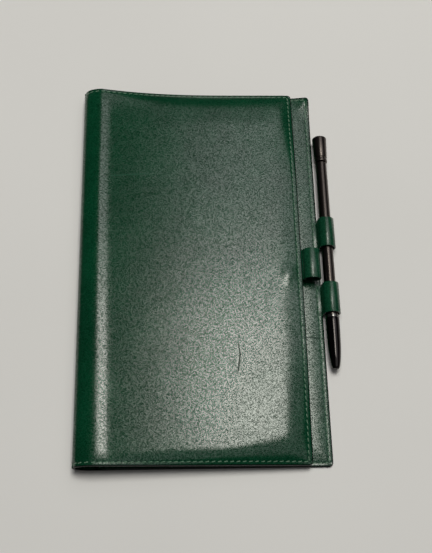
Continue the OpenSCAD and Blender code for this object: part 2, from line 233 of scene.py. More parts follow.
def seam_groove(x, y, width, side_seam):
    """Depth to which the thread pulls the leather in along the seam round three sides."""
    gaps = (abs(y - EDGE_SEAM), abs(COVER_H - y - EDGE_SEAM), abs(width - x - side_seam))
    return GROOVE_H * bell(min(gaps), GROOVE_W)


def edge_gap(x, y, width):
    """Distance to the nearest free edge, measured on the flat leather."""
    return max(0, min(y, COVER_H - y, width - x))


def edge_round(gap):
    """How far a worn edge is rounded away, at this distance from it."""
    if gap >= EDGE_ROUND:
        return 0
    return EDGE_ROUND - math.sqrt(EDGE_ROUND ** 2 - (EDGE_ROUND - gap) ** 2)


def tongue_bulge(x, y):
    """Swelling of the front cover over the end of the closing loop's sewn-in tongue."""
    across = x - FRONT_W + BULGE_INSET
    along = y - COVER_H / 2 + BULGE_BELOW_MIDDLE
    return BULGE_H * bell(across, BULGE_W) * bell(along, BULGE_L)


def rounded_in(x, y, width):
    """Place of y after the free corners are rounded."""
    over = x - width + CORNER_R
    if over <= 0:
        return y
    drawn_in = CORNER_R - math.sqrt(max(0, CORNER_R ** 2 - over ** 2))
    return COVER_H / 2 + (y - COVER_H / 2) * (1 - 2 * drawn_in / COVER_H)


def front_point(x, y, depth):
    """Point of the front cover or of its half of the spine, at a depth below the outside."""
    worn = edge_round(edge_gap(x, y, FRONT_W))
    if depth == 0:
        depth = worn + edge_sink(y) + seam_groove(x, y, FRONT_W, SIDE_SEAM) - tongue_bulge(x, y)
    elif depth >= BEND_T:
        depth -= 0.6 * worn
    if x < BEND_W:
        turn = math.pi / 2 * (1 - (BEND_W - x) / BEND_L)
        bend_x, bend_z = bend_point(turn, depth)
        return in_frame(bend_x, y, bend_z)
    return in_frame(x, rounded_in(x, y, FRONT_W), front_height(x, y) - depth)


def corner_curl(x, y):
    """Lift of the strip's top corner, which has curled up in use."""
    return CURL_H * clamp(1 + (x - BACK_W + y - COVER_H) / CURL_REACH) ** 2


def back_point(x, y, depth):
    """Point of the back cover or of its half of the spine, at a depth above its outside."""
    worn = edge_round(edge_gap(x, y, BACK_W))
    if depth == 0:
        depth = worn + seam_groove(x, y, BACK_W, SIDE_SEAM)
    elif depth >= BEND_T:
        depth -= worn + strip_sink(x, y) + seam_groove(x, y, BACK_W, SIDE_SEAM)
    if x < BEND_W:
        turn = -math.pi / 2 * (1 - (BEND_W - x) / BEND_L)
        bend_x, bend_z = bend_point(turn, depth)
        return in_frame(bend_x, y, bend_z)
    return in_frame(x, rounded_in(x, y, BACK_W), depth + corner_curl(x, y))


def over_board(x, y, x1, y0, y1):
    """1 over a cover's board, 0 beside it, with a short slope between."""
    inside = min(x - BOARD_X, x1 - x, y - y0, y1 - y)
    return ease(1 + inside / BOARD_STEP)


def inner_depth(x):
    """Depth of the lining's inner side: thinner in the spine than where a board lies."""
    return mix(BEND_T, PANEL_T, ease((x - BEND_W) / (BOARD_X - BOARD_STEP - BEND_W)))


# Modelling helpers

def deselect():
    bpy.ops.object.select_all(action="DESELECT")


def edit(piece, mode="FACE"):
    """Opens a piece for editing, with nothing selected in it."""
    deselect()
    piece.select_set(True)
    bpy.context.view_layer.objects.active = piece
    bpy.ops.object.mode_set(mode="EDIT")
    bpy.ops.mesh.select_mode(type=mode)
    bpy.ops.mesh.select_all(action="DESELECT")


def close_edit():
    bpy.ops.object.mode_set(mode="OBJECT")


def pick(piece, test):
    """Selects the faces that pass the test; the piece is in object mode."""
    for part in (piece.data.vertices, piece.data.edges, piece.data.polygons):
        part.foreach_set("select", [False] * len(part))
    for face in piece.data.polygons:
        face.select = test(face)


def face_outwards(piece):
    edit(piece)
    bpy.ops.mesh.select_all(action="SELECT")
    bpy.ops.mesh.remove_doubles(threshold=0.000001)
    bpy.ops.mesh.normals_make_consistent(inside=False)
    close_edit()


def apply_modifier(piece, kind, **settings):
    deselect()
    piece.select_set(True)
    bpy.context.view_layer.objects.active = piece
    modifier = piece.modifiers.new(kind.lower(), kind)
    for name, value in settings.items():
        setattr(modifier, name, value)
    bpy.ops.object.modifier_apply(modifier=modifier.name)


def finish_piece(piece, name, *materials, smooth=40):
    """Names the piece, puts its place into its mesh, and gives it its materials and shading."""
    deselect()
    piece.select_set(True)
    bpy.context.view_layer.objects.active = piece
    bpy.ops.object.transform_apply(location=True, rotation=True, scale=True)
    piece.name = name
    piece.data.name = name
    for material in materials:
        piece.data.materials.append(material)
    bpy.ops.object.shade_smooth_by_angle(angle=math.radians(smooth))
    return piece


def spread(t, gather):
    """Moves 0..1 towards its ends, so that rows lie closer where an edge is rounded."""
    return t - gather * math.sin(2 * math.pi * t) / (2 * math.pi)


def cut_layer(x0, x1, y0, y1, columns, rows, lay, gather=0.9):
    """A flat slab cut to size and laid in place by lay(x, y, side), side 0 outside and 1 inside.

    Its cut edges, and the narrow rounded border beside them, take the piece's second material: dark edge
    paint, drawn wider onto the face as painted shade of the gap beside the edge."""
    deselect()
    bpy.ops.mesh.primitive_grid_add(x_subdivisions=columns, y_subdivisions=rows, size=1)
    piece = bpy.context.object
    bpy.ops.object.mode_set(mode="EDIT")
    bpy.ops.mesh.select_all(action="SELECT")
    bpy.ops.mesh.extrude_region_move(TRANSFORM_OT_translate={"value": (0, 0, -1)})
    close_edit()
    for vertex in piece.data.vertices:
        vertex.co.x = mix(x0, x1, spread(vertex.co.x + 0.5, gather))
        vertex.co.y = mix(y0, y1, spread(vertex.co.y + 0.5, gather))
    for face in piece.data.polygons:
        middle = face.center
        gap = min(x1 - middle.x, middle.y - y0, y1 - middle.y)
        if x0 > 0:
            gap = min(gap, middle.x - x0)
        # the border band takes the dark edge paint: partly the real painted edge, partly painted shade of
        # the gap under it
        face.material_index = 1 if gap < 1.5 * EDGE_ROUND else 0
    for vertex in piece.data.vertices:
        vertex.co = lay(vertex.co.x, vertex.co.y, round(-vertex.co.z))
    face_outwards(piece)
    return piece


# Textures and finishes

def new_group(name, inputs, outputs):
    """Empty node group with named sockets, for an effect that several materials use."""
    group = bpy.data.node_groups.new(name, "ShaderNodeTree")
    for socket, kind, default in inputs:
        item = group.interface.new_socket(socket, in_out="INPUT", socket_type=kind)
        if default is not None:
            item.default_value = default
    for socket, kind in outputs:
        group.interface.new_socket(socket, in_out="OUTPUT", socket_type=kind)
    entry = group.nodes.new("NodeGroupInput")
    leave = group.nodes.new("NodeGroupOutput")
    return group, entry, leave


def add_node(tree, kind, inputs=None, **settings):
    """Adds a node; inputs may be constants or the sockets that feed it."""
    node = tree.nodes.new(kind)
    for name, value in settings.items():
        setattr(node, name, value)
    for socket, value in (inputs or {}).items():
        if isinstance(value, bpy.types.NodeSocket):
            tree.links.new(value, node.inputs[socket])
        else:
            node.inputs[socket].default_value = value
    return node


def add_math(tree, operation, a, b=0.5, clamped=False):
    node = add_node(tree, "ShaderNodeMath", {0: a, 1: b}, operation=operation)
    node.use_clamp = clamped
    return node.outputs[0]


def add_range(tree, value, low, high, to_low=0.0, to_high=1.0):
    inputs = {"Value": value, "From Min": low, "From Max": high, "To Min": to_low, "To Max": to_high}
    return add_node(tree, "ShaderNodeMapRange", inputs).outputs["Result"]


def add_mix(tree, factor, a, b, blend="MIX"):
    """Mixes two colours."""
    node = add_node(tree, "ShaderNodeMix", data_type="RGBA", blend_type=blend)
    for socket, value in ((0, factor), (6, a), (7, b)):
        if isinstance(value, bpy.types.NodeSocket):
            tree.links.new(value, node.inputs[socket])
        else:
            node.inputs[socket].default_value = value
    return node.outputs[2]


def add_vector_math(tree, operation, *values):
    return add_node(tree, "ShaderNodeVectorMath", dict(enumerate(values)), operation=operation)


FLOAT = "NodeSocketFloat"
VECTOR = "NodeSocketVector"


def make_leather_grain():
    """Fine pebbled grain of polished calf, over soft creases and waves of the worn cover."""
    inputs = (("Vector", VECTOR, None), ("Scale", FLOAT, 1500.0), ("Waves", FLOAT, 1.0))
    outputs = (("Height", FLOAT), ("Pebble", FLOAT), ("Patch", FLOAT), ("Shine", FLOAT))
    tree, entry, leave = new_group("leather_grain", inputs, outputs)
    vector = entry.outputs["Vector"]
    scale = entry.outputs["Scale"]

    def noise(place, density, detail):
        inputs = {"Vector": place, "Scale": density, "Detail": detail}
        return add_node(tree, "ShaderNodeTexNoise", inputs).outputs["Fac"]

    def times(value, factor):
        return add_math(tree, "MULTIPLY", value, factor)

    pebble = add_node(tree, "ShaderNodeTexVoronoi", {"Vector": vector, "Scale": scale}, feature="SMOOTH_F1")
    fine = noise(vector, times(scale, 0.9), 2.0)
    speck = add_node(tree, "ShaderNodeTexVoronoi", {"Vector": vector, "Scale": times(scale, 1.2)})
    shine = add_node(tree, "ShaderNodeSeparateColor", {"Color": speck.outputs["Color"]}).outputs["Red"]
    patch = noise(vector, 55.0, 3.0)
    turned = add_node(tree, "ShaderNodeMapping", {"Vector": vector})
    turned.inputs["Rotation"].default_value = (0, 0, math.radians(35))
    turned.inputs["Scale"].default_value = (1.0, 2.2, 1.0)
    crease = noise(turned.outputs["Vector"], 330.0, 2.0)
    wave = noise(vector, 110.0, 1.0)
    height = add_math(tree, "SUBTRACT", times(fine, 2.4), pebble.outputs["Distance"])
    soft = add_math(tree, "ADD", times(crease, 6.0), times(wave, 12.0))
    height = add_math(tree, "ADD", height, times(soft, entry.outputs["Waves"]))
    tree.links.new(height, leave.inputs["Height"])
    tree.links.new(pebble.outputs["Distance"], leave.inputs["Pebble"])
    tree.links.new(patch, leave.inputs["Patch"])
    tree.links.new(shine, leave.inputs["Shine"])
    return tree


def make_line_mark():
    """Mask of a straight mark between two points, seen in plan: 1 on the line, 0 beside it."""
    inputs = (("Vector", VECTOR, None), ("Start", VECTOR, None), ("End", VECTOR, None),
              ("Width", FLOAT, 0.0003))
    tree, entry, leave = new_group("line_mark", inputs, (("Mask", FLOAT),))

    def in_plan(name):
        return add_vector_math(tree, "MULTIPLY", entry.outputs[name], (1, 1, 0)).outputs[0]

    start = in_plan("Start")
    run = add_vector_math(tree, "SUBTRACT", in_plan("End"), start).outputs[0]
    away = add_vector_math(tree, "SUBTRACT", in_plan("Vector"), start).outputs[0]
    along = add_vector_math(tree, "DOT_PRODUCT", away, run).outputs["Value"]
    length = add_vector_math(tree, "DOT_PRODUCT", run, run).outputs["Value"]
    share = add_math(tree, "DIVIDE", along, length, clamped=True)
    foot = add_vector_math(tree, "SCALE", run)
    tree.links.new(share, foot.inputs["Scale"])
    gap = add_vector_math(tree, "DISTANCE", away, foot.outputs[0]).outputs["Value"]
    ratio = add_math(tree, "DIVIDE", gap, entry.outputs["Width"])
    tree.links.new(add_range(tree, ratio, 1.0, 0.4), leave.inputs["Mask"])
    return tree


def make_brushing():
    """Fine lines left by polishing along the pen."""
    inputs = (("Vector", VECTOR, None), ("Across", FLOAT, 3000.0), ("Along", FLOAT, 60.0))
    tree, entry, leave = new_group("brushing", inputs, (("Height", FLOAT), ("Streak", FLOAT)))
    across = entry.outputs["Across"]
    spacing = add_node(tree, "ShaderNodeCombineXYZ", {"X": across, "Y": entry.outputs["Along"], "Z": across})
    stretched = add_vector_math(tree, "MULTIPLY", entry.outputs["Vector"], spacing.outputs[0]).outputs[0]
    lines = add_node(tree, "ShaderNodeTexNoise", {"Vector": stretched, "Scale": 1.0, "Detail": 3.0})
    broad = add_node(tree, "ShaderNodeTexNoise", {"Vector": stretched, "Scale": 0.3, "Detail": 2.0})
    tree.links.new(lines.outputs["Fac"], leave.inputs["Height"])
    tree.links.new(broad.outputs["Fac"], leave.inputs["Streak"])
    return tree


LEATHER_GRAIN = make_leather_grain()
LINE_MARK = make_line_mark()
BRUSHING = make_brushing()


def new_material(name):
    """Material with a Principled shader, and the object's coordinates to draw on."""
    material = bpy.data.materials.new(name)
    material.use_nodes = True
    tree = material.node_tree
    shader = tree.nodes["Principled BSDF"]
    place = add_node(tree, "ShaderNodeTexCoord").outputs["Object"]
    return material, tree, shader, place


def fill_group(tree, group, inputs):
    """Puts a group into a material; inputs may be constants or the sockets that feed it."""
    node = tree.nodes.new("ShaderNodeGroup")
    node.node_tree = group
    for name, value in inputs.items():
        if isinstance(value, bpy.types.NodeSocket):
            tree.links.new(value, node.inputs[name])
        else:
            node.inputs[name].default_value = value
    return node


def add_bump(tree, shader, height, distance, strength=1.0):
    bump = add_node(tree, "ShaderNodeBump", {"Height": height, "Distance": distance, "Strength": strength})
    tree.links.new(bump.outputs["Normal"], shader.inputs["Normal"])
    return bump


def make_leather(name, dyes, roughness, scale, depth, waves=0.0, marks=(), polish=(0.0, 1.0), specular=0.16):
    """Dyed leather: the pores are darker than the polished tops, and patches vary slowly.

    polish is the least and the most coat on its specks; a mark with a negative lift is a dull crease, and
    its dark tint is painted shade."""
    dark, light = dyes
    material, tree, shader, place = new_material(name)
    grain = fill_group(tree, LEATHER_GRAIN, {"Vector": place, "Scale": scale, "Waves": waves})
    tone = add_range(tree, grain.outputs["Pebble"], 0.75, 0.15)
    colour = add_mix(tree, tone, dark + (1,), light + (1,))
    shade = add_range(tree, grain.outputs["Patch"], 0.35, 0.65, 0.86, 1.12)
    colour = add_mix(tree, 1.0, colour, shade, "MULTIPLY")
    # painted sparkle: the colour is lighter in the same specks that get more coat and darker in the others,
    # on top of the grain's own tone
    painted_sparkle_tone = add_range(tree, grain.outputs["Shine"], 0.1, 0.9, 0.75, 1.25)
    colour = add_mix(tree, 1.0, colour, painted_sparkle_tone, "MULTIPLY")
    height = grain.outputs["Height"]
    coat = add_range(tree, grain.outputs["Shine"], 0.15, 0.85, *polish)
    for start, end, width, wear_and_shade_tint, lift in marks:
        drawn = fill_group(tree, LINE_MARK, {"Vector": place, "Start": start, "End": end, "Width": width})
        mask = drawn.outputs["Mask"]
        # the mark's tint is painted in: light on a scratch as real wear, dark on a crease as painted shade
        colour = add_mix(tree, mask, colour, wear_and_shade_tint + (1,))
        height = add_math(tree, "ADD", height, add_math(tree, "MULTIPLY", mask, lift))
        if lift < 0:
            coat = add_math(tree, "MULTIPLY", coat, add_range(tree, mask, 0.0, 1.0, 1.0, 0.0))
    tree.links.new(colour, shader.inputs["Base Color"])
    rough = add_range(tree, grain.outputs["Patch"], 0.3, 0.7, roughness - 0.03, roughness + 0.04)
    tree.links.new(rough, shader.inputs["Roughness"])
    shader.inputs["Specular IOR Level"].default_value = specular
    tree.links.new(coat, shader.inputs["Coat Weight"])
    shader.inputs["Coat Roughness"].default_value = roughness + 0.06
    shader.inputs["Coat IOR"].default_value = 1.7
    add_bump(tree, shader, height, depth)
    return material


def make_metal(name, colour, roughness, lines=3000.0, depth=0.000004, streaks=0.25):
    """Brushed metal with lines along the pen."""
    material, tree, shader, place = new_material(name)
    brushed = fill_group(tree, BRUSHING, {"Vector": place, "Across": lines, "Along": lines / 50})
    shade = add_range(tree, brushed.outputs["Streak"], 0.3, 0.7, 1 - streaks, 1 + streaks)
    tree.links.new(add_mix(tree, 1.0, colour + (1,), shade, "MULTIPLY"), shader.inputs["Base Color"])
    shader.inputs["Metallic"].default_value = 1.0
    rough = add_range(tree, brushed.outputs["Height"], 0.3, 0.7, roughness * 0.85, roughness * 1.15)
    tree.links.new(rough, shader.inputs["Roughness"])
    add_bump(tree, shader, brushed.outputs["Height"], depth)
    return material


def make_thread(name, colour):
    """Waxed thread with its twist."""
    material, tree, shader, place = new_material(name)
    twist = add_node(tree, "ShaderNodeTexWave", {"Vector": place, "Scale": 1100.0, "Distortion": 2.0},
                     bands_direction="DIAGONAL")
    shade = add_range(tree, twist.outputs["Fac"], 0.0, 1.0, 0.75, 1.1)
    tree.links.new(add_mix(tree, 1.0, colour + (1,), shade, "MULTIPLY"), shader.inputs["Base Color"])
    shader.inputs["Roughness"].default_value = 0.5
    add_bump(tree, shader, twist.outputs["Fac"], 0.00004)
    return material


def make_board(name, colour, speck):
    """Grey board or card, with specks of fibre."""
    material, tree, shader, place = new_material(name)
    fibre = add_node(tree, "ShaderNodeTexNoise", {"Vector": place, "Scale": 1800.0, "Detail": 4.0})
    shade = add_range(tree, fibre.outputs["Fac"], 0.35, 0.65, 1 - speck, 1 + speck)
    tree.links.new(add_mix(tree, 1.0, colour + (1,), shade, "MULTIPLY"), shader.inputs["Base Color"])
    shader.inputs["Roughness"].default_value = 0.8
    add_bump(tree, shader, fibre.outputs["Fac"], 0.00003)
    return material


def make_paper(name, colour, leaf):
    """Leaves of paper: plain on their faces, with a line of painted shade in each gap between leaves on
    their edges.
    """
    material, tree, shader, place = new_material(name)
    height = add_node(tree, "ShaderNodeSeparateXYZ", {"Vector": place}).outputs["Z"]
    saw = add_math(tree, "FRACT", add_math(tree, "DIVIDE", height, leaf))
    gap = add_math(tree, "COMPARE", saw, 0.5)
    gap.node.inputs[2].default_value = 0.16
    wander = add_node(tree, "ShaderNodeTexNoise", {"Vector": place, "Scale": 300.0, "Detail": 2.0})
    normal = add_node(tree, "ShaderNodeNewGeometry").outputs["Normal"]
    facing_up = add_node(tree, "ShaderNodeSeparateXYZ", {"Vector": normal}).outputs["Z"]
    on_edge = add_range(tree, add_math(tree, "ABSOLUTE", facing_up), 0.8, 0.4)
    dark = add_math(tree, "MULTIPLY", add_math(tree, "MULTIPLY", gap, on_edge), wander.outputs["Fac"])
    shadow = (colour[0] * 0.55, colour[1] * 0.52, colour[2] * 0.46, 1)
    tree.links.new(add_mix(tree, dark, colour + (1,), shadow), shader.inputs["Base Color"])
    shader.inputs["Roughness"].default_value = 0.85
    add_bump(tree, shader, dark, -0.00003)
    return material


def mark(start, end, width, wear_and_shade_tint, lift):
    """A straight scratch or crease on a cover, its ends and width in millimetres; a crease's dark tint is
    painted shade.
    """
    ends = [in_frame(x * MM, y * MM, 0) for x, y in (start, end)]
    return (*ends, width * MM, wear_and_shade_tint, lift)


# Dark tint laid along a crease: painted shade in it, besides its sunk bump and dulled coat
CREASE_SHADE_TINT = (0.0015, 0.010, 0.005)
COVER_MARKS = (
    mark((13.0, 125.5), (29.0, 126.6), 0.40, (0.012, 0.055, 0.03), 0.4),
    mark((65.2, 37.5), (66.2, 44.5), 0.42, CREASE_SHADE_TINT, -2.4),
    mark((66.2, 44.5), (65.6, 48.5), 0.34, CREASE_SHADE_TINT, -1.6),
    mark((17.9, 63.5), (24.4, 59.9), 0.60, (0.004, 0.038, 0.017), 0.3),
)
# The strip's crease also carries a dark tint of painted shade
STRIP_MARKS = (
    mark((94.5, 53.5), (101.5, 53.0), 0.40, (0.003, 0.02, 0.010), -1.5),
)
COVER_DYES = ((0.0003, 0.021, 0.0078), (0.0011, 0.042, 0.0165))
LOOP_DYES = ((0.001, 0.024, 0.010), (0.003, 0.046, 0.020))
# Near-black edge paint: a real painted edge, darkened further to paint the shade in the gap beside each edge
EDGE_PAINT_AND_SHADE_DYES = ((0.0008, 0.004, 0.002), (0.002, 0.008, 0.005))

cover_leather = make_leather("cover_leather", COVER_DYES, 0.16, 2700.0, 0.000011, 1.0, COVER_MARKS)
underside_leather = make_leather("underside_leather", COVER_DYES, 0.16, 2700.0, 0.000011, 1.0)
lining_leather = make_leather("lining_leather", COVER_DYES, 0.20, 2700.0, 0.000011, 0.8, STRIP_MARKS)
loop_leather = make_leather("loop_leather", LOOP_DYES, 0.22, 2200.0, 0.000008,
                            polish=(0.2, 0.6), specular=0.3)
edge_paint_and_shade = make_leather("edge_paint_and_shade", EDGE_PAINT_AND_SHADE_DYES, 0.35, 2600.0, 0.00001,
                          polish=(0.0, 0.1), specular=0.2)
stitch_thread = make_thread("stitch_thread", (0.105, 0.185, 0.12))
booklet_thread = make_thread("booklet_thread", (0.55, 0.57, 0.50))
grey_board = make_board("grey_board", (0.30, 0.27, 0.23), 0.2)
booklet_card = make_board("booklet_card", (0.22, 0.20, 0.18), 0.12)
leaf_paper = make_paper("leaf_paper", (0.82, 0.78, 0.68), 0.00016)
gunmetal = make_metal("gunmetal", (0.10, 0.085, 0.078), 0.30)
nose_metal = make_metal("nose_metal", (0.045, 0.040, 0.040), 0.16, depth=0.000001, streaks=0.08)
ring_metal = make_metal("ring_metal", (0.30, 0.29, 0.28), 0.22)
refill_brass = make_metal("refill_brass", (0.62, 0.42, 0.16), 0.25)
plain_steel = make_metal("plain_steel", (0.55, 0.55, 0.56), 0.25)


# Cover

def lay_between(point, outer, inner):
    """How a layer is laid on a cover: point is the cover's shape, outer and inner give its two depths."""
    def lay(x, y, side):
        return point(x, y, inner(x, y) if side else outer(x, y))
    return lay


def round_edges(piece, width, segments=2, angle=50):
    apply_modifier(piece, "BEVEL", width=width, segments=segments, limit_method="ANGLE",
                   angle_limit=math.radians(angle))


front_fold_end = in_frame(BEND_W, COVER_H / 2, SPINE_H)


def fold_with_front(piece):
    """Puts the piece's place into its mesh; it is not made to bend where the spine meets the front cover."""
    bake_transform(piece)


def fold_with_back(piece):
    """Puts the piece's place into its mesh; it is not made to bend where the back cover meets the spine."""
    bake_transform(piece)


def outside(x, y):
    return 0


def leather_back(x, y):
    return LEATHER_T


def front_lining_top(x, y):
    return LEATHER_T + BOARD_T * over_board(x, y, PLATEAU_X, BOARD_Y0, BOARD_Y1)


def back_lining_low(x, y):
    board_x1 = back_board_high.x - SPINE_X
    board_y0 = back_board_low.y - BOTTOM_Y
    board_y1 = back_board_high.y - BOTTOM_Y
    return LEATHER_T + BOARD_T * over_board(x, y, board_x1, board_y0, board_y1)


def lining_face(x, y):
    return inner_depth(x)


def make_covers():
    """The four skins: outer leather and lining of each cover, each with its half of the spine."""
    skins = (
        ("front_outer_leather", FRONT_W, (120, 200), lay_between(front_point, outside, leather_back),
         cover_leather, "outer_leather", fold_with_front, ("front_leather", "spine_leather")),
        ("front_lining_leather", FRONT_W, (70, 110), lay_between(front_point, front_lining_top, lining_face),
         lining_leather, "lining_leather", fold_with_front, ("front_lining", "spine_lining")),
        ("back_outer_leather", BACK_W, (80, 120), lay_between(back_point, outside, leather_back),
         underside_leather, "outer_leather", fold_with_back, ("back_leather",)),
        ("back_lining_leather", BACK_W, (90, 140), lay_between(back_point, back_lining_low, lining_face),
         lining_leather, "lining_leather", fold_with_back, ("back_lining",)),
    )
    for name, width, cuts, lay, leather, slot, fold, nodes in skins:
        piece = cut_layer(SPINE_MIDDLE, width, 0, COVER_H, *cuts, lay)
        finish_piece(piece, name, leather, edge_paint_and_shade)
        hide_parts(*nodes)
        fold(piece)


make_covers()


# Pockets

def make_pockets():
    """Leather pockets inside the covers; the back one is lifted by the card it holds."""
    front_lay = lay_between(front_point, lambda x, y: PANEL_T, lambda x, y: PANEL_T + POCKET_T)
    front = cut_layer(POCKET_X, PLATEAU_X, BOARD_Y0, BOARD_Y1, 40, 70, front_lay)
    round_edges(front, 0.1 * MM)
    finish_piece(front, "front_inner_pocket", lining_leather, edge_paint_and_shade)
    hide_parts("front_pocket")
    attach(front, "cover_front")

    x1 = back_pocket_high.x - SPINE_X
    y0 = back_pocket_low.y - BOTTOM_Y
    y1 = back_pocket_high.y - BOTTOM_Y
    top = back_pocket_high.z
    sewn_w = 0.5 * MM
    slope_w = 1.3 * MM

    def back_lay(x, y, side):
        inside = min(x1 - x, y - y0, y1 - y)
        lifted = top - POCKET_T - PANEL_T
        low = PANEL_T + lifted * ease((inside - sewn_w) / slope_w)
        return in_frame(x, y, low if side else low + POCKET_T)

    back = cut_layer(POCKET_X, x1, y0, y1, 50, 90, back_lay)
    round_edges(back, 0.1 * MM)
    finish_piece(back, "back_inner_pocket", lining_leather, edge_paint_and_shade)
    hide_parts("back_pocket")
    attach(back, "cover_back")


make_pockets()


# Loops

STRAP_T = 0.6 * MM
TONGUE_T = 0.4 * MM
LOOP_OUTER_R = 3.65 * MM


def make_loop(name, node, body, edge_x, tongue_z, pressed=1.0):
    """Strap sewn in by its two ends: out of the seam, round the pen's place, and back to the seam.

    tongue_z(x) is the height of the sewn-in tongue's middle. A loop without a pen is pressed flatter."""
    low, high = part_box(node)
    middle_r = LOOP_OUTER_R - STRAP_T / 2
    centre = Vector((high.x - LOOP_OUTER_R, 0, high.z - LOOP_OUTER_R))
    out = Vector((edge_x, 0, tongue_z(edge_x)))
    reach = centre - out
    slant = math.atan2(reach.z, reach.x)
    opening = math.asin(middle_r / reach.length)
    lower_turn = slant - opening - math.pi / 2
    upper_turn = slant + opening + math.pi / 2
    lower = centre + middle_r * Vector((math.cos(lower_turn), 0, math.sin(lower_turn)))
    deselect()
    bpy.ops.mesh.primitive_plane_add(size=1)
    strap = bpy.context.object
    cuts = 3
    for vertex in strap.data.vertices:
        at_seam = vertex.co.x > 0
        x = mix(low.x, edge_x, 1 / cuts) if at_seam else low.x
        y = low.y if vertex.co.y < 0 else high.y
        vertex.co = (x, y, tongue_z(x))
        vertex.select = at_seam
    for edge in strap.data.edges:
        edge.select = all(strap.data.vertices[i].select for i in edge.vertices)
    for face in strap.data.polygons:
        face.select = False
    bpy.ops.object.mode_set(mode="EDIT")
    bpy.ops.mesh.select_mode(type="EDGE")
    for k in range(1, cuts):
        x0 = mix(low.x, edge_x, k / cuts)
        x1 = mix(low.x, edge_x, (k + 1) / cuts)
        bpy.ops.mesh.extrude_edges_move(
            TRANSFORM_OT_translate={"value": (x1 - x0, 0, tongue_z(x1) - tongue_z(x0))})
    bpy.ops.mesh.extrude_edges_move(TRANSFORM_OT_translate={"value": lower - out})
    bpy.ops.mesh.spin(steps=48, angle=upper_turn - lower_turn, center=centre, axis=(0, -1, 0))
    upper = centre + middle_r * Vector((math.cos(upper_turn), 0, math.sin(upper_turn)))
    bpy.ops.mesh.extrude_edges_move(TRANSFORM_OT_translate={"value": out + Vector((0, 0, 0.5 * MM)) - upper})
    close_edit()
    face_outwards(strap)
    # the strap's cut ends take the dark edge paint, which also paints the shade at the loops' ends
    apply_modifier(strap, "SOLIDIFY", thickness=STRAP_T, offset=0, material_offset_rim=1)
    for vertex in strap.data.vertices:
        middle_z = tongue_z(min(vertex.co.x, edge_x))
        if vertex.co.x < edge_x - 0.2 * MM:
            vertex.co.z = middle_z + (vertex.co.z - middle_z) * TONGUE_T / STRAP_T
        else:
            vertex.co.z = middle_z + (vertex.co.z - middle_z) * pressed
    face_outwards(strap)
    round_edges(strap, 0.1 * MM, angle=60)
    finish_piece(strap, name, loop_leather, edge_paint_and_shade)
    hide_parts(node)
    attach(strap, body)
    return strap


def make_loops():
    seam_depth = LEATHER_T + TONGUE_T / 2
    back_edge = SPINE_X + BACK_W + STRAP_T / 2
    front_edge = SPINE_X + FRONT_W + STRAP_T / 2

    def back_seam(x):
        return seam_depth

    def front_seam(x):
        return middle_height(min(x - SPINE_X, FRONT_W), COVER_H / 2) - seam_depth - 0.05 * MM

    make_loop("upper_pen_strap", "upper_pen_loop", "cover_back", back_edge, back_seam)
    make_loop("lower_pen_strap", "lower_pen_loop", "cover_back", back_edge, back_seam)
    make_loop("closing_strap", "closing_loop", "cover_front", front_edge, front_seam, pressed=0.7)


make_loops()


# Sewing

STITCH_PITCH = 2.4 * MM
STITCH_L = 1.75 * MM
STITCH_W = 0.5 * MM
STITCH_SLANT = math.radians(12)


def make_stitch(length, width):
    """One stitch of waxed thread, whose ends dip into their holes."""
    deselect()
    bpy.ops.mesh.primitive_cube_add(size=1)
    stitch = bpy.context.object
    bpy.ops.object.mode_set(mode="EDIT")
    bpy.ops.mesh.select_all(action="SELECT")
    bpy.ops.transform.resize(value=(length, width, width * 0.8))
    close_edit()
    apply_modifier(stitch, "BEVEL", width=width * 0.36, segments=2, limit_method="NONE")
    for vertex in stitch.data.vertices:
        vertex.co.z -= width * 0.55 * abs(2 * vertex.co.x / length) ** 4
    return stitch


def walk(corners, pitch):
    """Middles of the stitches along straight runs between corners, with each run's direction."""
    places = []
    for (x0, y0), (x1, y1) in zip(corners, corners[1:]):
        length = math.hypot(x1 - x0, y1 - y0)
        count = max(1, round(length / pitch))
        for k in range(count):
            t = (k + 0.5) / count
            places.append((mix(x0, x1, t), mix(y0, y1, t), (x1 - x0) / length, (y1 - y0) / length))
    return places


def join_row(stitch, places, name, material):
    """One stitch copied to each place, joined as one piece."""
    row = []
    for place in places:
        copy = stitch.copy()
        copy.data = stitch.data.copy()
        bpy.context.scene.collection.objects.link(copy)
        copy.matrix_world = place
        row.append(copy)
    deselect()
    for copy in row:
        copy.select_set(True)
    bpy.context.view_layer.objects.active = row[0]
    bpy.ops.object.join()
    joined = bpy.context.object
    bpy.data.objects.remove(stitch)
    finish_piece(joined, name, material, smooth=60)
    return joined


def sew(name, corners, point, depth, outward, sink):
    """A row of slanting stitches on a face of a cover, sunk a little into it."""
    def surface(x, y):
        return point(x, y, depth(x, y))

    lean = Matrix.Rotation(STITCH_SLANT, 4, "Z")
    step = 0.2 * MM
    places = []
    for x, y, along_x, along_y in walk(corners, STITCH_PITCH):
        here = surface(x, y)
        along = (surface(x + along_x * step, y + along_y * step) - here).normalized()
        across = (surface(x - along_y * step, y + along_x * step) - here).normalized()
        up = along.cross(across).normalized() * outward
        across = up.cross(along)
        axes = Matrix((along, across, up)).transposed().to_4x4()
        places.append(Matrix.Translation(here - up * sink) @ axes @ lean)
    return join_row(make_stitch(STITCH_L, STITCH_W), places, name, stitch_thread)


def seam_path(width):
    """Corners of the seam round the three free sides of a cover."""
    side = width - SIDE_SEAM
    top = COVER_H - EDGE_SEAM
    return (SPINE_MIDDLE, EDGE_SEAM), (side, EDGE_SEAM), (side, top), (SPINE_MIDDLE, top)


